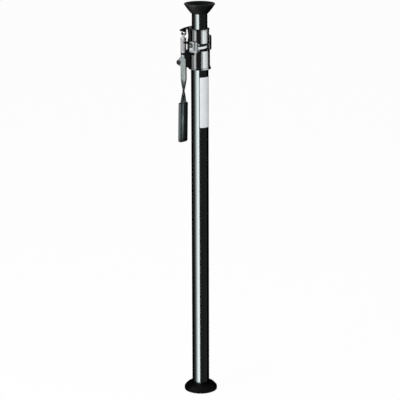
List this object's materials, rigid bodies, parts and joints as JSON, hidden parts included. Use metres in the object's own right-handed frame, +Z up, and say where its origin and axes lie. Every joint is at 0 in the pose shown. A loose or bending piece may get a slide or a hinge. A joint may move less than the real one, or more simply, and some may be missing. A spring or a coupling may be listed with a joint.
{
  "type": "floor to ceiling tension pole",
  "caption": "Telescoping black pole that wedges between floor and ceiling: rubber foot and cup, cam lever with twisted blade and grip, tilting lock plate with trigger.",
  "frame": {"origin": "middle of the floor foot's flat underside, on the tubes' axis", "axes": "+Z up along the tubes, -X towards the lever, -Y towards the release trigger"},
  "size_m": [0.1217, 0.0868, 1.0394],
  "materials": {
    "tube": "glossy black anodised",
    "casting": "satin black paint on a casting",
    "rubber": "matt moulded black rubber",
    "grip": "dark grey rubber, grooved along its corners",
    "steel": "brushed zinc-grey steel",
    "plated": "bright plated steel",
    "fastener": "blackened steel",
    "nylon": "dark moulded nylon",
    "label": "bare pale silver foil"
  },
  "bodies": {
    "base": {"floor_foot": "rubber", "foot_plug": "nylon", "outer_tube": "tube", "label_plate": "label", "lower_collar": "casting", "mouth_bush": "nylon", "collar_screw_lower": "fastener", "collar_screw_upper": "fastener", "pivot_pin": "fastener", "pivot_clip": "fastener"},
    "lever": {"lever_bar": "steel", "lever_bush": "nylon", "lever_grip": "grip"},
    "carriage": {"upper_collar": "casting", "carriage_bush_lower": "nylon", "carriage_bush_upper": "nylon", "link_eye": "plated", "link_pin": "fastener", "link_clip": "fastener", "link_barrel": "steel", "lock_nut": "fastener", "cam_shoe": "plated", "plate_spring": "fastener"},
    "lock": {"lock_plate": "plated", "release_trigger": "plated"},
    "mast": {"inner_tube": "tube", "slider_sleeve": "nylon", "top_plug": "nylon", "ceiling_cup": "rubber", "cup_washer": "plated", "cup_screw": "fastener"}
  },
  "joints": [
    {"name": "lever_swing", "type": "hinge", "parent": "base", "child": "lever", "pos_m": [-0.071, 0, 0.8789], "axis": [0, 1, 0], "range_deg": [0, 90]},
    {"name": "carriage_slide", "type": "slide", "parent": "base", "child": "carriage", "axis": [0, 0, 1], "range_m": [-0.01351, 0]},
    {"name": "plate_tip", "type": "hinge", "parent": "carriage", "child": "lock", "pos_m": [0, 0.031, 0.9351], "axis": [-1, 0, 0], "range_deg": [0, 8], "stiffness_Nm_per_rad": 0.8, "springref_deg": -11.46, "deforming": ["plate_spring"]},
    {"name": "mast_slide", "type": "slide", "parent": "carriage", "child": "mast", "axis": [0, 0, 1], "range_m": [-0.03, 0.66]}
  ],
  "couplings": [
    {"joint": "carriage_slide", "follows": "lever_swing", "m_per_rad": -0.0086}
  ]
}
